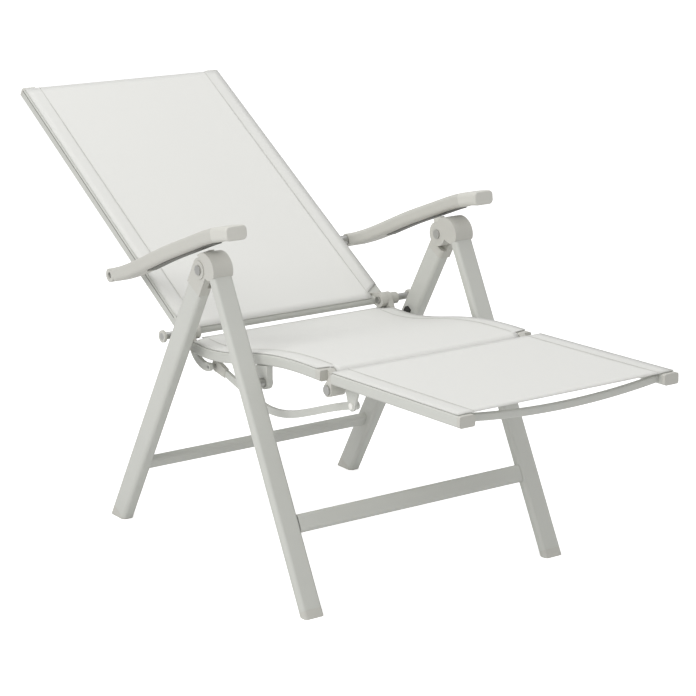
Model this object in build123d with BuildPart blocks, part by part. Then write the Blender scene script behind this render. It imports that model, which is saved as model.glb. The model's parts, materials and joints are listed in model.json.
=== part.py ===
from build123d import *
import os
from math import atan2, cos, degrees, radians, sin

os.makedirs("parts", exist_ok=True)

# Reclining garden armchair. Millimetres, +Z up, the chair faces -Y, the sitter's right is -X.
# Stations are (y, z) from the floor between the front feet; `at` moves them to the part's frame.

# Whole chair
hinge = (490, 416)          # seat and backrest turn here
knee = (15, 412)            # seat and footrest turn here
head = (353, 571)           # front and rear leg turn here
seat_pivot = (220, 379)     # seat turns on the front leg here
arm_pivot = (667, 503)      # arm turns on the backrest here
link_rear = (434, 358)      # footrest link turns on the backrest lug here
link_front = (-23, 388)     # footrest link meets the footrest bracket here
fit_gap = 0.3               # running clearance between pieces
wall = 1.6                  # aluminium tube wall

# Backrest
back_angle = 31.5
back_hinge_drop = 13.2      # rail centre line below the hinge
back_start = 26             # rail begins this far along from the hinge
back_length = 744           # hinge to the far end of the rail
rail_width = 32
rail_height = 20
rail_radius = 4
rail_inner = 207.5          # inner face of the rails from the middle

# Footrest
footrest_rear_y = 4
footrest_front_y = -354
footrest_rear_z = 434
footrest_front_z = 444
end_cap = 8

# Length of the whole chair, and the middle that the part's frame stands on
back_run = (back_length + end_cap) * cos(radians(back_angle)) + back_hinge_drop * sin(radians(back_angle))
rear_most = hinge[0] + back_run + rail_height / 2 * sin(radians(back_angle))
front_most = footrest_front_y - end_cap
middle = (rear_most + front_most) / 2


def at(point):
    return (point[0] - middle, point[1])


def along(start, angle, distance, lift=0):
    """The station `distance` along a line from `start`, and `lift` square to it."""
    a = radians(angle)
    return (start[0] + distance * cos(a) - lift * sin(a),
            start[1] + distance * sin(a) + lift * cos(a))


def cross_plane(point, angle, x=0):
    """A plane square to a line in the side view, its x axis along the part's X."""
    y, z = at(point)
    a = radians(angle)
    return Plane(origin=(x, y, z), x_dir=(1, 0, 0), z_dir=(0, cos(a), sin(a)))


def side_plane(x):
    return Plane.YZ.offset(x)


sides = (("right", -1), ("left", 1))

# Front legs
front_foot_y = 10.6
front_leg_angle = 62.6
front_leg_width = 42
front_leg_depth = 20
front_leg_radius = 7
front_leg_x = 277
front_leg_length = 634
foot_band = 12
plug_depth = 30

front_foot = (front_foot_y, 0)
for side, sign in sides:
    with BuildPart() as front_leg:
        base = cross_plane(along(front_foot, front_leg_angle, foot_band), front_leg_angle, sign * front_leg_x)
        with BuildSketch(base):
            RectangleRounded(front_leg_width, front_leg_depth, front_leg_radius)
            RectangleRounded(front_leg_width - 2 * wall, front_leg_depth - 2 * wall,
                             front_leg_radius - wall, mode=Mode.SUBTRACT)
        extrude(amount=front_leg_length - foot_band)
    front_leg.part.label = "front_leg_" + side
    export_step(front_leg.part, "parts/front_leg_" + side + ".step")

# Rear legs
rear_foot_y = 688
rear_leg_angle = degrees(atan2(head[1], head[0] - rear_foot_y))
rear_leg_width = 26
rear_leg_depth = 46
rear_leg_radius = 8
rear_leg_x = 278
rear_leg_length = 662
rear_foot_band = 16
rear_head_reach = 46        # the head piece covers this much of the leg below the pivot

rear_foot = (rear_foot_y, 0)
for side, sign in sides:
    with BuildPart() as rear_leg:
        base = cross_plane(along(rear_foot, rear_leg_angle, rear_foot_band), rear_leg_angle,
                           sign * rear_leg_x)
        with BuildSketch(base):
            RectangleRounded(rear_leg_width, rear_leg_depth, rear_leg_radius)
            RectangleRounded(rear_leg_width - 2 * wall, rear_leg_depth - 2 * wall,
                             rear_leg_radius - wall, mode=Mode.SUBTRACT)
        extrude(amount=rear_leg_length - rear_head_reach - rear_foot_band)
    rear_leg.part.label = "rear_leg_" + side
    export_step(rear_leg.part, "parts/rear_leg_" + side + ".step")


def foot_plugs(name, foot, angle, x, width, depth, radius, band):
    """A pair of plastic plugs: a band under the tube's end, cut by the floor, and a spigot inside it."""
    with BuildPart() as plugs:
        for _, sign in sides:
            with BuildSketch(cross_plane(along(foot, angle, -depth), angle, sign * x)):
                RectangleRounded(width, depth, radius)
            extrude(amount=depth + band)
            with BuildSketch(cross_plane(along(foot, angle, band), angle, sign * x)):
                RectangleRounded(width - 2 * wall - fit_gap, depth - 2 * wall - fit_gap, radius - wall)
            extrude(amount=plug_depth)
        with BuildSketch(Plane.XY):
            Rectangle(4 * x, 4 * x + 2 * middle)
        extrude(amount=-2 * depth, mode=Mode.SUBTRACT)
    plugs.part.label = name
    export_step(plugs.part, "parts/" + name + ".step")


foot_plugs("front_foot_plugs", front_foot, front_leg_angle, front_leg_x,
           front_leg_width, front_leg_depth, front_leg_radius, foot_band)
foot_plugs("rear_foot_plugs", rear_foot, rear_leg_angle, rear_leg_x,
           rear_leg_width, rear_leg_depth, rear_leg_radius, rear_foot_band)

# Crossbars between the legs
front_bar_height = 34
front_bar_rise = 148
rear_bar_height = 28
rear_bar_rise = 128
bar_depth = 16
bar_radius = 6


def crossbar(name, foot, angle, rise, height, reach):
    point = along(foot, angle, rise / sin(radians(angle)))
    y, z = at(point)
    a = radians(angle)
    with BuildPart() as bar:
        with BuildSketch(Plane(origin=(-reach, y, z), x_dir=(0, cos(a), sin(a)), z_dir=(1, 0, 0))):
            RectangleRounded(height, bar_depth, bar_radius)
            RectangleRounded(height - 2 * wall, bar_depth - 2 * wall, bar_radius - wall, mode=Mode.SUBTRACT)
        extrude(amount=2 * reach)
    bar.part.label = name
    export_step(bar.part, "parts/" + name + ".step")


crossbar("front_crossbar", front_foot, front_leg_angle, front_bar_rise, front_bar_height,
         front_leg_x - front_leg_width / 2)
crossbar("rear_crossbar", rear_foot, rear_leg_angle, rear_bar_rise, rear_bar_height,
         rear_leg_x - rear_leg_width / 2)

# Leg heads: the front cap reaches back to the pivot as an inner ear, the rear cap turns outside it
ear_radius = 17
boss_radius = 24
head_shoulder = 4
head_clear = 28.5          # room in the front cap for the rear head as the legs close
ear_inner = 256
ear_thick = 20
head_split = fit_gap + 0.7
cap_rise = 37
cap_neck = 30
bolt_radius = 5
ring_radius = 9
post_width = 24
post_thick = 12
post_lean = 69
post_top = (360, 602.3)
post_foot_depth = 18
prop_x = 287
prop_radius = 2.2
prop_top = (325, 606.5)
prop_foot = (310, 586)
prop_angle = degrees(atan2(prop_top[1] - prop_foot[1], prop_top[0] - prop_foot[0]))
prop_run = (prop_top[1] - prop_foot[1]) / sin(radians(prop_angle))

leg_top = along(front_foot, front_leg_angle, front_leg_length)
for side, sign in sides:
    with BuildPart() as front_head:
        with BuildSketch(side_plane(sign * (front_leg_x - front_leg_width / 2))):
            with BuildLine():
                low_front = at(along(leg_top, front_leg_angle, 0, front_leg_depth / 2))
                low_rear = at(along(leg_top, front_leg_angle, 0, -front_leg_depth / 2))
                crest = at((head[0] - cap_neck, head[1] + cap_rise))
                nose = at((leg_top[0] - front_leg_depth / 4, leg_top[1] + cap_neck))
                tail = at((head[0], head[1] + boss_radius))
                Polyline(low_rear, low_front)
                Spline(low_front, nose, crest, tail)
                Polyline(tail, at(head), low_rear)
            make_face()
        extrude(amount=sign * front_leg_width)
        with BuildSketch(side_plane(sign * (ear_inner + ear_thick))):
            with Locations(at(head)):
                Circle(head_clear)
        extrude(amount=sign * front_leg_width, mode=Mode.SUBTRACT)
        with BuildSketch(side_plane(sign * ear_inner)):
            with Locations(at(head)):
                Circle(boss_radius)
        extrude(amount=sign * ear_thick)
        with BuildSketch(side_plane(sign * (ear_inner - ear_thick))):
            with Locations(at(head)):
                Circle(bolt_radius + fit_gap)
        extrude(amount=sign * 4 * ear_thick, mode=Mode.SUBTRACT)
        with BuildSketch(cross_plane(leg_top, front_leg_angle, sign * front_leg_x)):
            RectangleRounded(front_leg_width - 2 * wall - fit_gap, front_leg_depth - 2 * wall - fit_gap,
                             front_leg_radius - wall)
        extrude(amount=-plug_depth)
        with BuildSketch(cross_plane(along(post_top, post_lean, -post_foot_depth), post_lean,
                                     sign * (ear_inner + ear_thick / 2))):
            RectangleRounded(post_thick, post_width, prop_radius)
        extrude(amount=post_foot_depth, mode=Mode.SUBTRACT)
        with BuildSketch(cross_plane(prop_foot, prop_angle, sign * prop_x)):
            Circle(prop_radius)
        extrude(amount=prop_run, mode=Mode.SUBTRACT)
    front_head.part.label = "front_head_" + side
    export_step(front_head.part, "parts/front_head_" + side + ".step")

plate_inner = ear_inner + ear_thick + head_split
rear_outer = rear_leg_x + rear_leg_width / 2
tube_top = along(rear_foot, rear_leg_angle, rear_leg_length - rear_head_reach)
with BuildPart() as rear_heads:
    for _, sign in sides:
        with BuildSketch(side_plane(sign * plate_inner)):
            with Locations(at(head)):
                Circle(rear_leg_depth / 2)
            with BuildLine():
                Polyline(at(along(head, rear_leg_angle, 0, rear_leg_depth / 2)),
                         at(along(tube_top, rear_leg_angle, 0, rear_leg_depth / 2)),
                         at(along(tube_top, rear_leg_angle, 0, -rear_leg_depth / 2)),
                         at(along(head, rear_leg_angle, 0, -rear_leg_depth / 2)), close=True)
            make_face()
        extrude(amount=sign * (rear_outer - plate_inner))
        with BuildSketch(cross_plane(tube_top, rear_leg_angle, sign * rear_leg_x)):
            RectangleRounded(rear_leg_width, rear_leg_depth, rear_leg_radius)
        extrude(amount=rear_head_reach - boss_radius - head_shoulder)
        with BuildSketch(cross_plane(tube_top, rear_leg_angle, sign * rear_leg_x)):
            RectangleRounded(rear_leg_width - 2 * wall - fit_gap, rear_leg_depth - 2 * wall - fit_gap,
                             rear_leg_radius - wall)
        extrude(amount=-plug_depth)
        with BuildSketch(side_plane(sign * plate_inner)):
            with Locations(at(head)):
                Circle(ear_radius)
        extrude(amount=sign * (rear_outer - plate_inner + head_split * 2))
        with BuildSketch(side_plane(sign * ear_inner)):
            with Locations(at(head)):
                Circle(bolt_radius + fit_gap)
        extrude(amount=sign * 3 * ear_thick, mode=Mode.SUBTRACT)
rear_heads.part.label = "rear_heads"
export_step(rear_heads.part, "parts/rear_heads.step")

bolt_cap = 3
with BuildPart() as head_pins:
    for _, sign in sides:
        with BuildSketch(side_plane(sign * (ear_inner - bolt_cap))):
            with Locations(at(head)):
                Circle(bolt_radius)
        extrude(amount=sign * (rear_outer + 2 * head_split + bolt_cap - ear_inner))
        for face, step in ((ear_inner, -bolt_cap), (rear_outer + 2 * head_split, bolt_cap)):
            with BuildSketch(side_plane(sign * face)):
                with Locations(at(head)):
                    Circle(ring_radius)
            extrude(amount=sign * step)
head_pins.part.label = "head_pins"
export_step(head_pins.part, "parts/head_pins.step")

# Notch posts and prop pins stand in sockets of the front heads
with BuildPart() as adjuster_posts:
    for _, sign in sides:
        with BuildSketch(cross_plane(along(post_top, post_lean, -post_foot_depth), post_lean,
                                     sign * (ear_inner + ear_thick / 2))):
            RectangleRounded(post_thick, post_width, prop_radius)
        extrude(amount=post_foot_depth)
adjuster_posts.part.label = "adjuster_posts"
export_step(adjuster_posts.part, "parts/adjuster_posts.step")

with BuildPart() as adjuster_pins:
    for _, sign in sides:
        with BuildSketch(cross_plane(prop_foot, prop_angle, sign * prop_x)):
            Circle(prop_radius)
        extrude(amount=prop_run)
adjuster_pins.part.label = "adjuster_pins"
export_step(adjuster_pins.part, "parts/adjuster_pins.step")

# Seat pivots on the front legs: a sleeve from the leg to a lug under the seat rail
lug_thick = 12
lug_radius = 13
sleeve_radius = 9
pivot_pin_radius = 5
lug_inner = rail_inner + rail_width - lug_thick
leg_inner = front_leg_x - front_leg_width / 2
with BuildPart() as seat_pivot_pins:
    for _, sign in sides:
        with BuildSketch(side_plane(sign * (lug_inner + lug_thick + fit_gap))):
            with Locations(at(seat_pivot)):
                Circle(sleeve_radius)
        extrude(amount=sign * (leg_inner - lug_inner - lug_thick - fit_gap))
        with BuildSketch(side_plane(sign * (lug_inner - 2 * fit_gap))):
            with Locations(at(seat_pivot)):
                Circle(pivot_pin_radius)
        extrude(amount=sign * (lug_thick + 4 * fit_gap))
        with BuildSketch(side_plane(sign * (lug_inner - fit_gap))):
            with Locations(at(seat_pivot)):
                Circle(sleeve_radius)
        extrude(amount=-sign * bolt_cap)
seat_pivot_pins.part.label = "seat_pivot_pins"
export_step(seat_pivot_pins.part, "parts/seat_pivot_pins.step")

# Slide strips on the inner faces of the rear legs
strip_start = 198
strip_length = 133
strip_width = 12
strip_thick = 8
with BuildPart() as slide_strips:
    for _, sign in sides:
        start = along(head, rear_leg_angle, -strip_start)
        with BuildSketch(cross_plane(start, rear_leg_angle,
                                     sign * (rear_leg_x - rear_leg_width / 2 - strip_thick / 2))):
            Rectangle(strip_thick, strip_width)
        extrude(amount=-strip_length)
slide_strips.part.label = "slide_strips"
export_step(slide_strips.part, "parts/slide_strips.step")

# Seat rails, swept along the dished line of the seat
seat_line = ((52, 432), (147, 429.5), (247, 416.5), (364, 394), (430, 389), (468, 390))
seat_x = rail_inner + rail_width / 2


def level_spline(points):
    """A curve that leaves and arrives level, so that its ends stand square."""
    return Spline(points, tangents=(Vector(0, 1, 0), Vector(0, 1, 0)))


def swept_rail(points, x):
    """A rounded tube that follows stations in the side view."""
    path = level_spline([Vector(x, *at(p)) for p in points])
    with BuildPart() as rail:
        with BuildSketch(Plane(origin=path @ 0, x_dir=(1, 0, 0), z_dir=path % 0)):
            RectangleRounded(rail_width, rail_height, rail_radius)
            RectangleRounded(rail_width - 2 * wall, rail_height - 2 * wall,
                             rail_radius - wall, mode=Mode.SUBTRACT)
        sweep(path=path)
    return rail


for side, sign in sides:
    seat_rail = swept_rail(seat_line, sign * seat_x)
    seat_rail.part.label = "seat_rail_" + side
    export_step(seat_rail.part, "parts/seat_rail_" + side + ".step")

# Lugs under the seat rails, each with a bore for the seat pivot pin
rail_under_lug = 412
with BuildPart() as seat_pivot_lugs:
    for _, sign in sides:
        with BuildSketch(side_plane(sign * lug_inner)):
            with Locations(at(seat_pivot)):
                Circle(lug_radius)
            y, z = at(seat_pivot)
            with BuildLine():
                Polyline((y - lug_radius, z), (y - lug_radius, rail_under_lug + sleeve_radius / 4),
                         (y + 2 * lug_radius, rail_under_lug - sleeve_radius / 2), (y + lug_radius, z),
                         close=True)
            make_face()
            with Locations(at(seat_pivot)):
                Circle(pivot_pin_radius + fit_gap, mode=Mode.SUBTRACT)
        extrude(amount=sign * lug_thick)
        lower = [(p[0], p[1] - rail_height / 2 - fit_gap) for p in seat_line]
        with BuildSketch(side_plane(sign * (lug_inner - lug_thick))):
            with BuildLine():
                edge = Spline([at(p) for p in lower])
                far = at((seat_line[-1][0], head[1]))
                near = at((seat_line[0][0], head[1]))
                Polyline(edge @ 1, far, near, edge @ 0)
            make_face()
        extrude(amount=sign * 4 * lug_thick, mode=Mode.SUBTRACT)
seat_pivot_lugs.part.label = "seat_pivot_lugs"
export_step(seat_pivot_lugs.part, "parts/seat_pivot_lugs.step")

# Cross tube under the front edge of the seat cloth
front_tube_radius = 12.5
front_tube = (46, 429.5)
with BuildPart() as seat_front_tube:
    with BuildSketch(side_plane(-rail_inner)):
        with Locations(at(front_tube)):
            Circle(front_tube_radius)
            Circle(front_tube_radius - wall, mode=Mode.SUBTRACT)
    extrude(amount=2 * rail_inner)
seat_front_tube.part.label = "seat_front_tube"
export_step(seat_front_tube.part, "parts/seat_front_tube.step")

# Hinge at the rear of the seat: outer cheek on the seat, inner cheek on the backrest, one axle through both
cheek_split = 228
cheek_inner = 214
cheek_radius = 15
axle_radius = 7
axle_reach = 293
collar_radius = 12
collar_inner = rail_inner + rail_width + 1.5
collar_length = 16
cap_length = 5


def neck_outline(centre, radius, neck, neck_angle):
    """Corners of a knuckle's tapered neck, from its boss to a rail's end."""
    a = degrees(atan2(neck[1] - centre[1], neck[0] - centre[0]))
    return (at(along(centre, a, 0, radius)), at(along(neck, neck_angle, 0, rail_height / 2)),
            at(along(neck, neck_angle, 0, -rail_height / 2)), at(along(centre, a, 0, -radius)))


def cheek(x0, x1, centre, radius, bore, neck, neck_angle, end_x, end, end_angle, lip):
    """A plastic knuckle: a flat boss at a pivot, its neck, and the plug and lip that close a rail's end."""
    with BuildPart() as piece:
        with BuildSketch(side_plane(x0)):
            with Locations(at(centre)):
                Circle(radius)
            with BuildLine():
                Polyline(*neck_outline(centre, radius, neck, neck_angle), close=True)
            make_face()
        extrude(amount=x1 - x0)
        with BuildSketch(cross_plane(end, end_angle, end_x)):
            RectangleRounded(rail_width, rail_height, rail_radius)
        extrude(amount=lip)
        with BuildSketch(cross_plane(end, end_angle, end_x)):
            RectangleRounded(plug_width, plug_height, plug_radius)
        extrude(amount=-rail_plug)
        with BuildSketch(side_plane(x0)):
            with Locations(at(centre)):
                Circle(bore)
        extrude(amount=x1 - x0, mode=Mode.SUBTRACT)
    return piece


plug_width = rail_width - 2 * wall - fit_gap
plug_height = rail_height - 2 * wall - fit_gap
plug_radius = rail_radius - wall
rail_plug = 12
thin_lip = 1.5
seat_end = seat_line[-1]
seat_front_end = seat_line[0]
back_foot = along(hinge, back_angle, 0, -back_hinge_drop)
back_low = along(back_foot, back_angle, back_start)

for side, sign in sides:
    seat_cheek = cheek(sign * cheek_split, sign * (rail_inner + rail_width), hinge, cheek_radius,
                       axle_radius, seat_end, 180, sign * seat_x, seat_end, 0, thin_lip)
    seat_cheek.part.label = "seat_hinge_cheek_" + side
    export_step(seat_cheek.part, "parts/seat_hinge_cheek_" + side + ".step")

    back_cheek = cheek(sign * cheek_inner, sign * (cheek_split - fit_gap), hinge, cheek_radius,
                       axle_radius + fit_gap, back_low, back_angle, sign * seat_x, back_low,
                       back_angle + 180, thin_lip)
    back_cheek.part.label = "back_hinge_cheek_" + side
    export_step(back_cheek.part, "parts/back_hinge_cheek_" + side + ".step")

with BuildPart() as hinge_axles:
    for _, sign in sides:
        with BuildSketch(side_plane(sign * (cheek_inner - bolt_cap))):
            with Locations(at(hinge)):
                Circle(axle_radius)
        extrude(amount=sign * (axle_reach - cheek_inner + bolt_cap))
hinge_axles.part.label = "hinge_axles"
export_step(hinge_axles.part, "parts/hinge_axles.step")

with BuildPart() as hinge_collars:
    for _, sign in sides:
        for start, reach in ((collar_inner, collar_length), (axle_reach - cap_length, cap_length)):
            with BuildSketch(side_plane(sign * start)):
                with Locations(at(hinge)):
                    Circle(collar_radius)
                    Circle(axle_radius, mode=Mode.SUBTRACT)
            extrude(amount=sign * reach)
hinge_collars.part.label = "hinge_collars"
export_step(hinge_collars.part, "parts/hinge_collars.step")

# Backrest rails and their end bars
for side, sign in sides:
    with BuildPart() as back_rail:
        with BuildSketch(cross_plane(back_low, back_angle, sign * seat_x)):
            RectangleRounded(rail_width, rail_height, rail_radius)
            RectangleRounded(rail_width - 2 * wall, rail_height - 2 * wall,
                             rail_radius - wall, mode=Mode.SUBTRACT)
        extrude(amount=back_length - back_start)
    back_rail.part.label = "back_rail_" + side
    export_step(back_rail.part, "parts/back_rail_" + side + ".step")

back_bar_radius = 9
bar_edge = 14


bar_lift = rail_height / 2 - back_bar_radius
tab_thick = 6
back_reach = cheek_inner


def round_bar(name, point, reach):
    with BuildPart() as bar:
        with BuildSketch(side_plane(-reach)):
            with Locations(at(point)):
                Circle(back_bar_radius)
                Circle(back_bar_radius - wall, mode=Mode.SUBTRACT)
        extrude(amount=2 * reach)
    bar.part.label = name
    export_step(bar.part, "parts/" + name + ".step")


round_bar("back_top_bar", along(back_foot, back_angle, back_length - bar_edge, bar_lift), rail_inner)
round_bar("back_lower_bar", along(back_foot, back_angle, bar_edge, bar_lift), back_reach)

# Rear bar of the seat: a tube with a flat tab at each end that meets the lip of the seat's hinge cheek
seat_rear = (seat_line[-1][0] + bar_edge, seat_line[-1][1] + bar_lift)
with BuildPart() as seat_rear_bar:
    with BuildSketch(side_plane(-rail_inner)):
        with Locations(at(seat_rear)):
            Circle(back_bar_radius)
            Circle(back_bar_radius - wall, mode=Mode.SUBTRACT)
    extrude(amount=2 * rail_inner)
    for _, sign in sides:
        y, z = at(seat_rear)
        y_lip = at(seat_end)[0] + thin_lip
        with BuildSketch(side_plane(sign * rail_inner)):
            with Locations((y, z)):
                Circle(back_bar_radius)
            with BuildLine():
                Polyline((y_lip, z - back_bar_radius), (y, z - back_bar_radius),
                         (y, z + back_bar_radius), (y_lip, z + back_bar_radius), close=True)
            make_face()
        extrude(amount=sign * tab_thick)
seat_rear_bar.part.label = "seat_rear_bar"
export_step(seat_rear_bar.part, "parts/seat_rear_bar.step")

with BuildPart() as back_end_caps:
    for _, sign in sides:
        top = along(back_foot, back_angle, back_length)
        with BuildSketch(cross_plane(top, back_angle, sign * seat_x)):
            RectangleRounded(rail_width, rail_height, rail_radius)
        extrude(amount=end_cap)
        with BuildSketch(cross_plane(top, back_angle, sign * seat_x)):
            RectangleRounded(plug_width, plug_height, plug_radius)
        extrude(amount=-rail_plug)
back_end_caps.part.label = "back_end_caps"
export_step(back_end_caps.part, "parts/back_end_caps.step")

# Curved lugs on the backrest cheeks, which push the footrest links
back_lug_x = 219
back_lug_thick = 7
lug_half = 8
lug_line = (hinge, (493, 385), (472, 364), link_rear)
with BuildPart() as back_lugs:
    for _, sign in sides:
        path = Spline([Vector(sign * (back_lug_x + back_lug_thick / 2), *at(p)) for p in lug_line])
        with BuildSketch(Plane(origin=path @ 0, x_dir=(1, 0, 0), z_dir=path % 0)):
            Rectangle(back_lug_thick, 2 * lug_half)
        sweep(path=path)
        with BuildSketch(side_plane(sign * back_lug_x)):
            with Locations(at(link_rear)):
                Circle(lug_half)
        extrude(amount=sign * back_lug_thick)
        with BuildSketch(side_plane(sign * (back_lug_x - back_lug_thick))):
            with Locations(at(hinge)):
                Circle(cheek_radius)
            with BuildLine():
                Polyline(*neck_outline(hinge, cheek_radius, back_low, back_angle), close=True)
            make_face()
            with Locations(at(link_rear)):
                Circle(bolt_cap)
        extrude(amount=sign * 3 * back_lug_thick, mode=Mode.SUBTRACT)
back_lugs.part.label = "back_lugs"
export_step(back_lugs.part, "parts/back_lugs.step")

# Footrest links: a plastic rod end, a bent flat bar, and an eye beside the footrest bracket
link_x = 202
link_thick = 6
link_edge = 1               # how far the rod end and the eye stand proud of the bar
link_half = 7
link_bend = (265, 315)
rod_end_radius = 12
rod_end_reach = 34
link_angle = degrees(atan2(link_rear[1] - link_bend[1], link_rear[0] - link_bend[0]))
for side, sign in sides:
    rod_tail = along(link_rear, link_angle + 180, rod_end_reach)
    with BuildPart() as link_bar:
        out = radians(link_angle + 180)
        path = Spline([Vector(sign * (link_x + link_thick / 2), *at(p))
                       for p in (rod_tail, link_bend, link_front)],
                      tangents=(Vector(0, cos(out), sin(out)),
                                Vector(0, link_front[0] - link_bend[0], link_front[1] - link_bend[1])))
        with BuildSketch(Plane(origin=path @ 0, x_dir=(1, 0, 0), z_dir=path % 0)):
            Rectangle(link_thick, 2 * link_half)
        sweep(path=path)
        with BuildSketch(side_plane(sign * link_x)):
            with Locations(at(link_front)):
                Circle(link_half + link_edge)
        extrude(amount=sign * link_thick)
        with BuildSketch(side_plane(sign * link_x)):
            with Locations(at(link_front)):
                Circle(bolt_cap)
        extrude(amount=sign * link_thick, mode=Mode.SUBTRACT)
    link_bar.part.label = "link_bar_" + side
    export_step(link_bar.part, "parts/link_bar_" + side + ".step")

    with BuildPart() as rod_end:
        with BuildSketch(side_plane(sign * (link_x - link_edge))):
            with Locations(at(link_rear)):
                Circle(rod_end_radius)
            with BuildLine():
                Polyline(at(along(link_rear, link_angle, 0, rod_end_radius)),
                         at(along(link_rear, link_angle, -rod_end_reach, link_half + 2 * link_edge)),
                         at(along(link_rear, link_angle, -rod_end_reach, -link_half - 2 * link_edge)),
                         at(along(link_rear, link_angle, 0, -rod_end_radius)), close=True)
            make_face()
            with Locations(at(link_rear)):
                Circle(bolt_cap + fit_gap, mode=Mode.SUBTRACT)
        extrude(amount=sign * (link_thick + 2 * link_edge))
    rod_end.part.label = "link_rod_end_" + side
    export_step(rod_end.part, "parts/link_rod_end_" + side + ".step")

with BuildPart() as link_rivets:
    for _, sign in sides:
        with BuildSketch(side_plane(sign * (link_x - link_edge - bolt_cap))):
            with Locations(at(link_rear)):
                Circle(bolt_cap)
        extrude(amount=sign * (back_lug_x + back_lug_thick + bolt_cap - link_x + link_edge))
        with BuildSketch(side_plane(sign * (link_x - link_edge - fit_gap))):
            with Locations(at(link_rear)):
                Circle(2 * bolt_cap)
        extrude(amount=-sign * bolt_cap)
link_rivets.part.label = "link_rivets"
export_step(link_rivets.part, "parts/link_rivets.step")

# Knee: seat caps carry the inner bosses, footrest knuckles the outer ones
knee_split = 223
knee_inner = 208.5
knee_radius = 12.5
knee_pin_radius = 5
footrest_tilt = degrees(atan2(footrest_front_z - footrest_rear_z, footrest_front_y - footrest_rear_y))
footrest_rear = (footrest_rear_y, footrest_rear_z)
footrest_length = (footrest_rear_y - footrest_front_y) / -cos(radians(footrest_tilt))
cap_lip = 14
for side, sign in sides:
    knee_cap = cheek(sign * knee_inner, sign * (knee_split - fit_gap), knee, knee_radius,
                     knee_pin_radius, (seat_front_end[0] - cap_lip, seat_front_end[1]), 0,
                     sign * seat_x, seat_front_end, 180, cap_lip)
    knee_cap.part.label = "knee_cap_" + side
    export_step(knee_cap.part, "parts/knee_cap_" + side + ".step")

    knuckle = cheek(sign * knee_split, sign * (rail_inner + rail_width), knee, knee_radius,
                    knee_pin_radius + fit_gap, footrest_rear, footrest_tilt,
                    sign * seat_x, footrest_rear, footrest_tilt + 180, 2 * thin_lip)
    knuckle.part.label = "footrest_knuckle_" + side
    export_step(knuckle.part, "parts/footrest_knuckle_" + side + ".step")

with BuildPart() as knee_pins:
    for _, sign in sides:
        with BuildSketch(side_plane(sign * (knee_inner - bolt_cap / 2))):
            with Locations(at(knee)):
                Circle(knee_pin_radius)
        extrude(amount=sign * (rail_inner + rail_width + bolt_cap - knee_inner))
        with BuildSketch(side_plane(sign * (rail_inner + rail_width + fit_gap))):
            with Locations(at(knee)):
                Circle(ring_radius)
        extrude(amount=sign * bolt_cap)
knee_pins.part.label = "knee_pins"
export_step(knee_pins.part, "parts/knee_pins.step")

# Footrest rails, front bow, end caps and the brackets that the links work on
for side, sign in sides:
    with BuildPart() as footrest_rail:
        with BuildSketch(cross_plane(footrest_rear, footrest_tilt, sign * seat_x)):
            RectangleRounded(rail_width, rail_height, rail_radius)
            RectangleRounded(rail_width - 2 * wall, rail_height - 2 * wall,
                             rail_radius - wall, mode=Mode.SUBTRACT)
        extrude(amount=footrest_length)
    footrest_rail.part.label = "footrest_rail_" + side
    export_step(footrest_rail.part, "parts/footrest_rail_" + side + ".step")

footrest_front = along(footrest_rear, footrest_tilt, footrest_length)
with BuildPart() as footrest_end_caps:
    for _, sign in sides:
        with BuildSketch(cross_plane(footrest_front, footrest_tilt, sign * seat_x)):
            RectangleRounded(rail_width, rail_height, rail_radius)
        extrude(amount=end_cap)
        with BuildSketch(cross_plane(footrest_front, footrest_tilt, sign * seat_x)):
            RectangleRounded(plug_width, plug_height, plug_radius)
        extrude(amount=-rail_plug)
footrest_end_caps.part.label = "footrest_end_caps"
export_step(footrest_end_caps.part, "parts/footrest_end_caps.step")

bow_inset = 14
bow_height = 14
bow_depth = 10
bow_dip = 13
bow_radius = 3
bow_at = along(footrest_rear, footrest_tilt, footrest_length - bow_inset)
with BuildPart() as footrest_bow:
    bow_y, bow_z = at(bow_at)
    path = ThreePointArc((-rail_inner, bow_y, bow_z), (0, bow_y, bow_z - bow_dip), (rail_inner, bow_y, bow_z))
    with BuildSketch(Plane(origin=path @ 0, x_dir=(0, 1, 0), z_dir=path % 0)):
        RectangleRounded(bow_depth, bow_height, bow_radius)
    sweep(path=path)
    with BuildSketch(side_plane(-rail_inner)):
        Rectangle(4 * middle, 4 * middle)
    extrude(amount=-rail_width, mode=Mode.SUBTRACT)
    with BuildSketch(side_plane(rail_inner)):
        Rectangle(4 * middle, 4 * middle)
    extrude(amount=rail_width, mode=Mode.SUBTRACT)
footrest_bow.part.label = "footrest_bow"
export_step(footrest_bow.part, "parts/footrest_bow.step")

bracket_thick = 4
bracket_x = 211
bracket_reach = 45
bracket_radius = 10
with BuildPart() as footrest_brackets:
    for _, sign in sides:
        under = along(footrest_rear, footrest_tilt, bracket_radius / 2, rail_height / 2)
        far_under = along(under, footrest_tilt, bracket_reach)
        with BuildSketch(side_plane(sign * bracket_x)):
            with Locations(at(link_front)):
                Circle(bracket_radius)
            with BuildLine():
                Polyline(at(under), at(far_under), at(along(link_front, 180, bracket_radius)),
                         at(along(link_front, 0, bracket_radius)), close=True)
            make_face()
            with Locations(at(link_front)):
                Circle(bolt_cap, mode=Mode.SUBTRACT)
        extrude(amount=sign * bracket_thick)
footrest_brackets.part.label = "footrest_brackets"
export_step(footrest_brackets.part, "parts/footrest_brackets.step")

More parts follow.
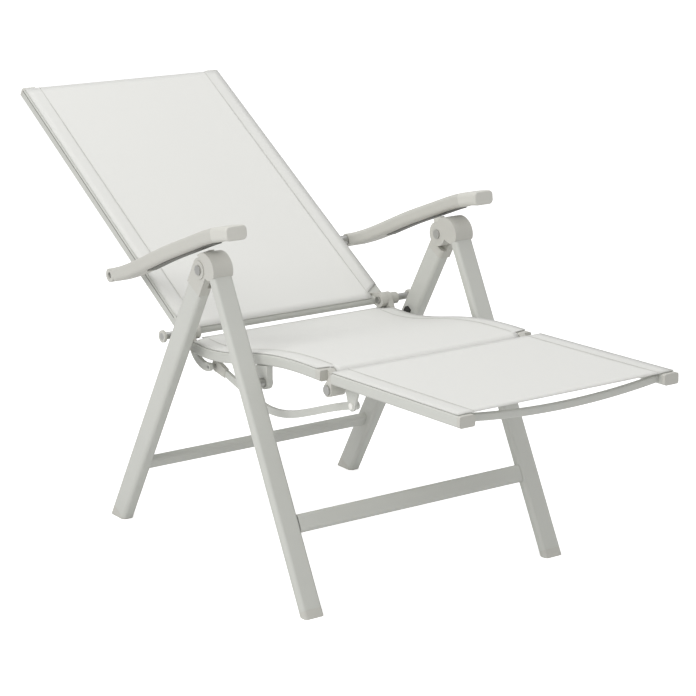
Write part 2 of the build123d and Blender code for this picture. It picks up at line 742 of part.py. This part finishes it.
pin_head = 2
washer_gap = bracket_x - link_x - link_thick - link_edge
with BuildPart() as bracket_pins:
    for _, sign in sides:
        with BuildSketch(side_plane(sign * bracket_x)):
            with Locations(at(link_front)):
                Circle(ring_radius)
        extrude(amount=-sign * washer_gap)
        with BuildSketch(side_plane(sign * bracket_x)):
            with Locations(at(link_front)):
                Circle(bolt_cap)
        extrude(amount=sign * (bracket_thick + pin_head))
        with BuildSketch(side_plane(sign * (bracket_x + bracket_thick))):
            with Locations(at(link_front)):
                Circle(2 * bolt_cap)
        extrude(amount=sign * pin_head)
bracket_pins.part.label = "bracket_pins"
export_step(bracket_pins.part, "parts/bracket_pins.step")

# Arms: a curved moulding, its notched rack underneath and a paler cap at the front
arm_inner = 259
arm_width = 45
arm_height = 27
arm_radius = 9
cap_share = 0.88            # the front cap begins at this share of the arm's curve
arm_line = (arm_pivot, (584, 532), (521, 559), (465, 583), (372, 619), (284, 650), (238, 659))
arm_x = arm_inner + arm_width / 2


def arm_curve(x):
    return Spline([Vector(x, *at(p)) for p in arm_line])


pin_radius = 6
for side, sign in sides:
    curve = arm_curve(sign * arm_x)
    body_path = curve.trim(0, cap_share)
    cap_path = curve.trim(cap_share, 1)
    with BuildPart() as arm:
        with BuildSketch(Plane(origin=body_path @ 0, x_dir=(1, 0, 0), z_dir=body_path % 0)):
            RectangleRounded(arm_width, arm_height, arm_radius)
        sweep(path=body_path)
        with BuildSketch(side_plane(sign * arm_inner)):
            with Locations(at(arm_pivot)):
                Circle(arm_height / 2)
        extrude(amount=sign * arm_width)
        with BuildSketch(side_plane(sign * arm_inner)):
            with Locations(at(arm_pivot)):
                Circle(pin_radius + fit_gap)
        extrude(amount=sign * arm_width, mode=Mode.SUBTRACT)
    arm.part.label = "arm_" + side
    export_step(arm.part, "parts/arm_" + side + ".step")

    with BuildPart() as arm_cap:
        with BuildSketch(Plane(origin=cap_path @ 0, x_dir=(1, 0, 0), z_dir=cap_path % 0)):
            RectangleRounded(arm_width, arm_height, arm_radius)
        sweep(path=cap_path)
        fillet(arm_cap.faces().sort_by(Axis.Y)[0].edges(), radius=bow_radius)
    arm_cap.part.label = "arm_cap_" + side
    export_step(arm_cap.part, "parts/arm_cap_" + side + ".step")

rack_start_share = 0.28
rack_end_share = 0.84
rack_width = 20
rack_drop = 1.6
rack_lower = (arm_height + rack_drop) / 2 + fit_gap
for side, sign in sides:
    path = arm_curve(sign * arm_x).trim(rack_start_share, rack_end_share)
    with BuildPart() as arm_rack:
        base = Plane(origin=path @ 0, x_dir=(1, 0, 0), z_dir=path % 0)
        with BuildSketch(base):
            with Locations((0, rack_lower if base.y_dir.Z < 0 else -rack_lower)):
                Rectangle(rack_width, rack_drop)
        sweep(path=path)
    arm_rack.part.label = "arm_rack_" + side
    export_step(arm_rack.part, "parts/arm_rack_" + side + ".step")

# Arm pivot pins: a shouldered pin from the backrest rail through the arm
rail_outer = rail_inner + rail_width
shoulder_radius = 10
head_depth = 3
for side, sign in sides:
    with BuildPart() as arm_pin:
        with BuildSketch(side_plane(sign * rail_outer)):
            with Locations(at(arm_pivot)):
                Circle(shoulder_radius)
        extrude(amount=sign * (arm_inner - fit_gap - rail_outer))
        with BuildSketch(side_plane(sign * rail_outer)):
            with Locations(at(arm_pivot)):
                Circle(pin_radius)
        extrude(amount=sign * (arm_inner + arm_width - head_depth - rail_outer))
    arm_pin.part.label = "arm_pin_" + side
    export_step(arm_pin.part, "parts/arm_pin_" + side + ".step")

# Slings: taut cloth over the rails, each a thin closed solid
cloth_thick = 2.4
cloth_reach = 236
cloth_gap = fit_gap
cloth_lift = rail_height / 2 + cloth_gap + cloth_thick / 2


roll_reach = rail_inner - 5 * fit_gap


def flat_cloth(name, start, angle, length, tongue=0):
    """A straight sling over its rails, with a narrower tongue at its start that lies between the knuckles."""
    with BuildPart() as cloth:
        with BuildSketch(cross_plane(along(start, angle, 0, cloth_lift), angle)):
            Rectangle(2 * cloth_reach, cloth_thick)
        extrude(amount=length)
        if tongue:
            with BuildSketch(cross_plane(along(start, angle, 0, cloth_lift), angle)):
                Rectangle(2 * roll_reach, cloth_thick)
            extrude(amount=-tongue)
    cloth.part.label = name
    export_step(cloth.part, "parts/" + name + ".step")


flat_cloth("back_cloth", along(back_foot, back_angle, back_start), back_angle,
           back_length - back_start + end_cap / 2, back_start - bar_edge / 2)
flat_cloth("footrest_cloth", footrest_front, footrest_tilt + 180, footrest_length + bolt_cap)

roll_radius = front_tube_radius + cloth_gap + cloth_thick / 2
with BuildPart() as seat_cloth:
    lifted = [(p[0], p[1] + cloth_lift) for p in seat_line]
    path = level_spline([Vector(0, *at(p)) for p in lifted])
    with BuildSketch(Plane(origin=path @ 0, x_dir=(1, 0, 0), z_dir=path % 0)):
        Rectangle(2 * cloth_reach, cloth_thick)
    sweep(path=path)
    crest = (front_tube[0], lifted[0][1])
    with BuildSketch(cross_plane(lifted[0], 180)):
        Rectangle(2 * roll_reach, cloth_thick)
    extrude(amount=lifted[0][0] - crest[0])
    roll = ThreePointArc(Vector(0, *at(crest)), Vector(0, *at((front_tube[0] - roll_radius, front_tube[1]))),
                         Vector(0, *at((front_tube[0], front_tube[1] - roll_radius))))
    with BuildSketch(cross_plane(crest, 180)):
        Rectangle(2 * roll_reach, cloth_thick)
    sweep(path=roll)
    with BuildSketch(cross_plane(lifted[-1], 0)):
        Rectangle(2 * roll_reach, cloth_thick)
    extrude(amount=seat_rear[0] + bar_edge / 2 - lifted[-1][0])
seat_cloth.part.label = "seat_cloth"
export_step(seat_cloth.part, "parts/seat_cloth.step")
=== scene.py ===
import json
import math

import bpy
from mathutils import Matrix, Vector
from mathutils.bvhtree import BVHTree


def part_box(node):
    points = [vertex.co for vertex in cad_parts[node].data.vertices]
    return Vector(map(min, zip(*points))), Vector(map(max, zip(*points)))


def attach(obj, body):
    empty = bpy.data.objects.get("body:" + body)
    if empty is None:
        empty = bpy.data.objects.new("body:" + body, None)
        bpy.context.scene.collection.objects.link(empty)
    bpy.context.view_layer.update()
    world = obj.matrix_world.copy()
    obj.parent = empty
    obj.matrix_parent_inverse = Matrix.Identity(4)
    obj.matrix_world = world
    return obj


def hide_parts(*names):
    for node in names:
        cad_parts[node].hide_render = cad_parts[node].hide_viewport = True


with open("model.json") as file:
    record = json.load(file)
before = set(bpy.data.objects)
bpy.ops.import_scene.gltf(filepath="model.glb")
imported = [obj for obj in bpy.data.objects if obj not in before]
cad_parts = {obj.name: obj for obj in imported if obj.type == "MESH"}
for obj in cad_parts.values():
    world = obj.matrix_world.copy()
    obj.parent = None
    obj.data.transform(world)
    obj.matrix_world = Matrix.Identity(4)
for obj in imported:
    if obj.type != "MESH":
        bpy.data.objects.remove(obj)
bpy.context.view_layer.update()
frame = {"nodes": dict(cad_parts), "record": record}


def colour(hex_text):
    """An sRGB hex value as linear RGBA."""
    out = []
    for i in (0, 2, 4):
        c = int(hex_text[i:i + 2], 16) / 255
        out.append(c / 12.92 if c <= 0.04045 else ((c + 0.055) / 1.055) ** 2.4)
    return (*out, 1.0)


def add(tree, kind, **inputs):
    """One shader node, its sockets set by name."""
    node = tree.nodes.new("ShaderNode" + kind)
    for name, value in inputs.items():
        node.inputs[name.replace("_", " ")].default_value = value
    return node


def material(name, hex_text, roughness, metallic=0.0, grain_mm=1.5, grain=0.08, vary=0.03, edge_mm=0.8):
    """A finish with a fine surface grain, slight tone changes and softly rounded edges."""
    mat = bpy.data.materials.new(name)
    mat.use_nodes = True
    tree = mat.node_tree
    bsdf = tree.nodes["Principled BSDF"]
    base = colour(hex_text)
    bsdf.inputs["Base Color"].default_value = base
    bsdf.inputs["Metallic"].default_value = metallic
    bsdf.inputs["Roughness"].default_value = roughness
    where = add(tree, "TexCoord")
    tone = add(tree, "TexNoise", Scale=9.0, Detail=3.0)
    tree.links.new(where.outputs["Object"], tone.inputs["Vector"])
    mix = add(tree, "MixRGB")
    mix.inputs["Color1"].default_value = tuple(c * (1 - vary) for c in base[:3]) + (1,)
    mix.inputs["Color2"].default_value = tuple(min(1, c * (1 + vary)) for c in base[:3]) + (1,)
    tree.links.new(tone.outputs["Fac"], mix.inputs["Fac"])
    tree.links.new(mix.outputs["Color"], bsdf.inputs["Base Color"])
    fine = add(tree, "TexNoise", Scale=1000 / grain_mm, Detail=2.0)
    tree.links.new(where.outputs["Object"], fine.inputs["Vector"])
    round_edge = add(tree, "Bevel", Radius=edge_mm / 1000)
    bump = add(tree, "Bump", Strength=grain, Distance=0.0002)
    tree.links.new(fine.outputs["Fac"], bump.inputs["Height"])
    tree.links.new(round_edge.outputs["Normal"], bump.inputs["Normal"])
    tree.links.new(bump.outputs["Normal"], bsdf.inputs["Normal"])
    return mat


# Powder coated aluminium: satin, faint orange peel. Moulded plastics: finer grain, duller.
powder = material("powder_coated_aluminium", "c9cac4", 0.42, grain_mm=2.2, grain=0.10)
grey_nylon = material("moulded_grey_nylon", "c6c5be", 0.55, grain_mm=0.8, grain=0.14)
pale_nylon = material("moulded_pale_nylon", "d2d1ca", 0.5, grain_mm=0.8, grain=0.12)
black_nylon = material("black_nylon", "2b2b29", 0.5, grain_mm=0.8)
white_nylon = material("white_nylon", "f0efea", 0.45, grain_mm=0.8)
steel = material("zinc_plated_steel", "b9b9b6", 0.32, metallic=1.0, grain_mm=0.6)
# Painted slot shade: a flat dark grey that stands in for the shade inside slots and grooves, which the solids
# lack.
painted_slot_shade = material("painted_slot_shade_grey", "7d7d78", 0.7, grain_mm=0.8)
thread = material("polyester_thread", "c9c9c3", 0.8, grain_mm=0.4)

# Each CAD piece takes the finish of its real material.
finish = {"powder_coat": powder, "grey_plastic": grey_nylon, "pale_plastic": pale_nylon,
          "dark_plastic": black_nylon, "white_nylon": white_nylon, "steel": steel}
for part in frame["record"]["subparts"]:
    if part["material_slot"] in finish:
        node = frame["nodes"][part["node"]]
        node.data.materials.clear()
        node.data.materials.append(finish[part["material_slot"]])


# Armrest racks: plain strips under each arm. There is a dark slot there, which the solids lack, so the strip
# is painted dark grey as painted shade in place of the slot's shaded inside.
for side in ("right", "left"):
    rack = frame["nodes"][f"arm_rack_{side}"]
    rack.data.materials.clear()
    rack.data.materials.append(painted_slot_shade)


def cloth_material(name, half_width, band):
    """Coated polyester mesh: off-white yarns with small gaps, and a doubled, darker hem at the sides."""
    mat = bpy.data.materials.new(name)
    mat.use_nodes = True
    tree = mat.node_tree
    bsdf = tree.nodes["Principled BSDF"]
    bsdf.inputs["Roughness"].default_value = 0.62
    bsdf.inputs["Sheen Weight"].default_value = 0.15
    uv = add(tree, "UVMap")
    parts = add(tree, "SeparateXYZ")
    tree.links.new(uv.outputs["UV"], parts.inputs["Vector"])
    yarn_mm = 2.4
    rows = []
    for axis in ("X", "Y"):
        turn = add(tree, "Math")
        turn.operation = "MULTIPLY"
        turn.inputs[1].default_value = 2 * math.pi * 1000 / yarn_mm
        tree.links.new(parts.outputs[axis], turn.inputs[0])
        wave = add(tree, "Math")
        wave.operation = "SINE"
        tree.links.new(turn.outputs[0], wave.inputs[0])
        rows.append(wave)
    weave = add(tree, "Math")
    weave.operation = "MULTIPLY"
    tree.links.new(rows[0].outputs[0], weave.inputs[0])
    tree.links.new(rows[1].outputs[0], weave.inputs[1])
    off_centre = add(tree, "Math")
    off_centre.operation = "ABSOLUTE"
    tree.links.new(parts.outputs["X"], off_centre.inputs[0])
    hem = add(tree, "Math")
    hem.operation = "GREATER_THAN"
    hem.inputs[1].default_value = half_width - band
    tree.links.new(off_centre.outputs[0], hem.inputs[0])
    tone = add(tree, "MixRGB")
    tone.inputs["Color1"].default_value = colour("e4e4e0")
    tone.inputs["Color2"].default_value = colour("e1e1dd")
    tree.links.new(hem.outputs[0], tone.inputs["Fac"])
    yarn = add(tree, "MapRange")
    yarn.inputs["From Min"].default_value = -1.0
    yarn.inputs["To Min"].default_value = 0.955
    yarn.inputs["To Max"].default_value = 1.0
    tree.links.new(weave.outputs[0], yarn.inputs["Value"])
    shade = add(tree, "VectorMath")
    shade.operation = "SCALE"
    tree.links.new(tone.outputs["Color"], shade.inputs[0])
    tree.links.new(yarn.outputs["Result"], shade.inputs["Scale"])
    tree.links.new(shade.outputs["Vector"], bsdf.inputs["Base Color"])
    bump = add(tree, "Bump", Strength=0.25, Distance=0.0003)
    tree.links.new(weave.outputs[0], bump.inputs["Height"])
    tree.links.new(bump.outputs["Normal"], bsdf.inputs["Normal"])
    return mat


def mesh_object(name, verts, faces, mat, uvs=None):
    mesh = bpy.data.meshes.new(name)
    mesh.from_pydata(verts, [], faces)
    mesh.update()
    if uvs:
        layer = mesh.uv_layers.new(name="UVMap")
        for loop in mesh.loops:
            layer.data[loop.index].uv = uvs[loop.vertex_index]
    for polygon in mesh.polygons:
        polygon.use_smooth = True
    mesh.materials.append(mat)
    obj = bpy.data.objects.new(name, mesh)
    bpy.context.scene.collection.objects.link(obj)
    return obj


def top_line(node_name, count, x=0.1):
    """Stations (y, z) on the upper side of a CAD sling, from its lowest y to its highest."""
    node = frame["nodes"][node_name]
    tree = BVHTree.FromPolygons([v.co for v in node.data.vertices],
                                [p.vertices for p in node.data.polygons])
    low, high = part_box(node_name)
    line = []
    for i in range(count):
        y = low[1] + (high[1] - low[1]) * (0.004 + 0.992 * i / (count - 1))
        hit = tree.ray_cast(Vector((x, y, high[2] + 0.1)), Vector((0, 0, -1)))
        if hit[0]:
            line.append((y, hit[0].z))
    return line


def sling(name, line, widths, thick, sag, mat):
    """A taut grid of cloth through stations (y, z), as wide as `widths` says, sagging a little inside."""
    across = 32
    verts, uvs, faces = [], [], []
    run = [0.0]
    for a, b in zip(line, line[1:]):
        run.append(run[-1] + math.dist(a, b))
    for i, (y, z) in enumerate(line):
        before, after = line[max(i - 1, 0)], line[min(i + 1, len(line) - 1)]
        ty, tz = after[0] - before[0], after[1] - before[1]
        size = math.hypot(ty, tz)
        ny, nz = -tz / size, ty / size
        along = math.sin(math.pi * run[i] / run[-1])
        for j in range(across + 1):
            s = 2 * j / across - 1
            drop = sag * along * (1 - s ** 4)
            x = s * widths[i]
            verts.append((x, y - ny * drop, z - nz * drop))
            uvs.append((x, run[i]))
    for i in range(len(line) - 1):
        for j in range(across):
            a = i * (across + 1) + j
            faces.append((a, a + 1, a + across + 2, a + across + 1))
    obj = mesh_object(name, verts, faces, mat, uvs)
    area = sum(p.area for p in obj.data.polygons)
    solid = obj.modifiers.new("thickness", "SOLIDIFY")
    solid.thickness = thick
    solid.offset = -1.0
    return obj, run[-1], area


def hem_line(name, line, x, lift, mat, radius=0.0007):
    """A raised row of stitching that follows the cloth."""
    verts, faces = [], []
    for i, (y, z) in enumerate(line):
        before, after = line[max(i - 1, 0)], line[min(i + 1, len(line) - 1)]
        ty, tz = after[0] - before[0], after[1] - before[1]
        size = math.hypot(ty, tz)
        ny, nz = -tz / size, ty / size
        for dx, up in ((-radius, 0), (0, radius), (radius, 0)):
            verts.append((x + dx, y + ny * (lift + up), z + nz * (lift + up)))
    for i in range(len(line) - 1):
        a = 3 * i
        faces += [(a, a + 1, a + 4, a + 3), (a + 1, a + 2, a + 5, a + 4)]
    return mesh_object(name, verts, faces, mat)


cloth_thick = 0.0018
hem_band = 0.034

# Seat sling: one taut panel of coated mesh, clamped in the side rails and rolled over the front tube.
seat_line = top_line("seat_cloth", 48)
seat_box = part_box("seat_cloth")
tube_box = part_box("seat_front_tube")
tube = ((tube_box[0][1] + tube_box[1][1]) / 2, (tube_box[0][2] + tube_box[1][2]) / 2)
tube_radius = (tube_box[1][2] - tube_box[0][2]) / 2
seat_half = seat_box[1][0]
roll_half = tube_box[1][0] - 0.0015
roll = []
roll_steps = 14
roll_reach = tube_radius + 0.0027
for k in range(roll_steps):
    a = math.radians(90 + 175 * (roll_steps - 1 - k) / (roll_steps - 1))
    roll.append((tube[0] + roll_reach * math.cos(a), tube[1] + roll_reach * math.sin(a)))
rail_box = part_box("seat_rail_left")
on_rail = [p for p in seat_line if tube[0] + 0.006 < p[0] < rail_box[1][1]]
tongue = [p for p in seat_line if p[0] > rail_box[1][1] + 0.001]
seat_stations = roll + on_rail + tongue
seat_widths = [roll_half] * len(roll) + [seat_half] * len(on_rail) + [roll_half] * len(tongue)
seat_mat = cloth_material("seat_mesh", seat_half, hem_band)
seat_sling, seat_run, seat_area = sling("seat_sling", seat_stations, seat_widths, cloth_thick, 0.002,
                                        seat_mat)
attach(seat_sling, "seat")
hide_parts("seat_cloth")

# Backrest sling: the same mesh, straight between its rails.
back_line = top_line("back_cloth", 40)
back_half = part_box("back_cloth")[1][0]
back_mat = cloth_material("back_mesh", back_half, hem_band)
back_rail_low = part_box("back_rail_left")[0][1]
back_widths = [back_half if p[0] > back_rail_low + 0.004 else roll_half for p in back_line]
back_sling, back_run, back_area = sling("back_sling", back_line, back_widths, cloth_thick, 0.003,
                                        back_mat)
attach(back_sling, "back")
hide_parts("back_cloth")

# Keder grooves: the dark line along the outer side of each back rail, where the cloth's bead goes in. It is a
# thin strip on the rail, which has no groove of its own, painted dark grey as painted shade for the shaded
# inside of the groove.
groove_drop = 0.0055
for side in ("right", "left"):
    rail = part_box(f"back_rail_{side}")
    face = rail[0][0] if side == "right" else rail[1][0]
    on_side = [p for p in back_line if p[0] > back_rail_low + 0.012]
    groove = hem_line(f"back_groove_shade_{side}", on_side, face, -groove_drop, painted_slot_shade, radius=0.0009)
    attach(groove, "back")

# Footrest sling: a short panel with a straight hemmed front edge above the bow.
foot_line = top_line("footrest_cloth", 24)
foot_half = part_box("footrest_cloth")[1][0]
foot_mat = cloth_material("footrest_mesh", foot_half, hem_band)
foot_sling, foot_run, _ = sling("footrest_sling", foot_line, [foot_half] * len(foot_line),
                                cloth_thick, 0.002, foot_mat)
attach(foot_sling, "footrest")
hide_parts("footrest_cloth")

# Hem stitching: two rows of polyester thread along each side of every sling.
for body, line, half in (("seat", on_rail, seat_half), ("back", back_line, back_half),
                         ("footrest", foot_line, foot_half)):
    for side, sign in (("right", -1), ("left", 1)):
        row = hem_line(f"{body}_stitch_{side}", line, sign * (half - hem_band), 0.0001, thread)
        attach(row, body)

# Floor: plain and pale. The camera sees it a little brighter, which leaves a white ground under a soft
# shadow.
floor_reach = 40.0
floor_mat = bpy.data.materials.new("pale_floor")
floor_mat.use_nodes = True
tree = floor_mat.node_tree
bsdf = tree.nodes["Principled BSDF"]
bsdf.inputs["Base Color"].default_value = colour("f4f4f4")
bsdf.inputs["Roughness"].default_value = 1.0
bsdf.inputs["Specular IOR Level"].default_value = 0.0
path = add(tree, "LightPath")
gain = add(tree, "Math")
gain.operation = "MULTIPLY"
gain.inputs[1].default_value = 0.62
tree.links.new(path.outputs["Is Camera Ray"], gain.inputs[0])
bsdf.inputs["Emission Color"].default_value = (1, 1, 1, 1)
tree.links.new(gain.outputs[0], bsdf.inputs["Emission Strength"])
floor = mesh_object("floor", [(-floor_reach, -floor_reach, 0), (floor_reach, -floor_reach, 0),
                              (floor_reach, floor_reach, 0), (-floor_reach, floor_reach, 0)],
                    [(0, 1, 2, 3)], floor_mat)

# World: even white studio surroundings.
world = bpy.data.worlds.new("studio")
bpy.context.scene.world = world
world.use_nodes = True
world.node_tree.nodes["Background"].inputs["Color"].default_value = (1, 1, 1, 1)
world.node_tree.nodes["Background"].inputs["Strength"].default_value = 0.56


def lamp(name, place, size, watts):
    data = bpy.data.lights.new(name, "AREA")
    data.size = size
    data.energy = watts
    obj = bpy.data.objects.new(name, data)
    obj.location = place
    obj.rotation_euler = (Vector((0, 0, 0.4)) - Vector(place)).to_track_quat("-Z", "Y").to_euler()
    bpy.context.scene.collection.objects.link(obj)
    return obj


# Lamps: a large soft box high on the left of the picture, and a weaker one overhead.
lamp("key", (-3.6, -0.9, 3.0), 3.0, 84)
lamp("top", (0.4, 0.6, 4.2), 3.5, 52)

# Camera: the photograph's own view, fitted to the legs, rails and arms.
camera_data = bpy.data.cameras.new("camera")
camera_data.lens = 120.4
camera_data.sensor_width = 36.0
camera = bpy.data.objects.new("camera", camera_data)
azimuth, elevation = math.radians(35.13), math.radians(14.88)
camera.location = (-2.463, -3.208 - 0.39065, 1.529)
look = Vector((math.sin(azimuth) * math.cos(elevation), math.cos(azimuth) * math.cos(elevation),
               -math.sin(elevation)))
camera.rotation_euler = look.to_track_quat("-Z", "Y").to_euler()
bpy.context.scene.collection.objects.link(camera)
bpy.context.scene.camera = camera

bpy.context.scene.view_settings.view_transform = "Standard"

bpy.context.view_layer.update()
